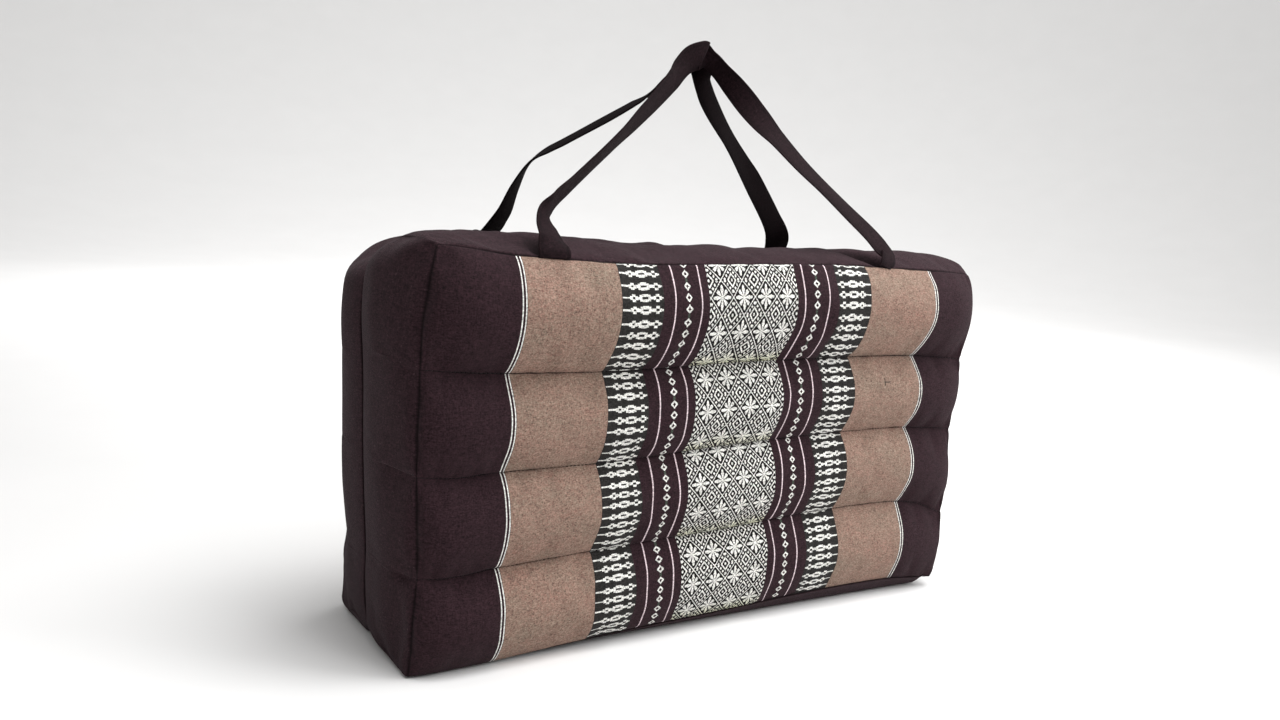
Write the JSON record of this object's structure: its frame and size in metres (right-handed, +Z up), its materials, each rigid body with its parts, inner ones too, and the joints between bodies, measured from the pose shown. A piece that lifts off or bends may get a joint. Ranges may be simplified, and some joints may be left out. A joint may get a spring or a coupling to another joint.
{
  "type": "folding meditation cushion, folded, with carry straps",
  "caption": "Folding floor cushion of channel-quilted boxed pads, folded back to back and standing on its long edge, with flat cloth carry straps drawn up to a peak.",
  "frame": {"origin": "on the surface the cushion stands on, under the middle of its bounding box", "axes": "+X along the cushion's length, -Y out of the front patterned panel, +Z up through the carry straps"},
  "size_m": [0.5698, 0.1868, 0.472],
  "materials": {
    "patterned_cloth": "matt woven cotton in bands of dark brown, tan and black brocade with off-white figures",
    "plain_cloth": "matt plain-woven dark brown cotton"
  },
  "bodies": {
    "root": {"front_pad": "patterned_cloth", "rear_pad": "patterned_cloth", "hinge_strip": "plain_cloth", "front_handle": "plain_cloth", "rear_handle": "plain_cloth"}
  },
  "joints": []
}
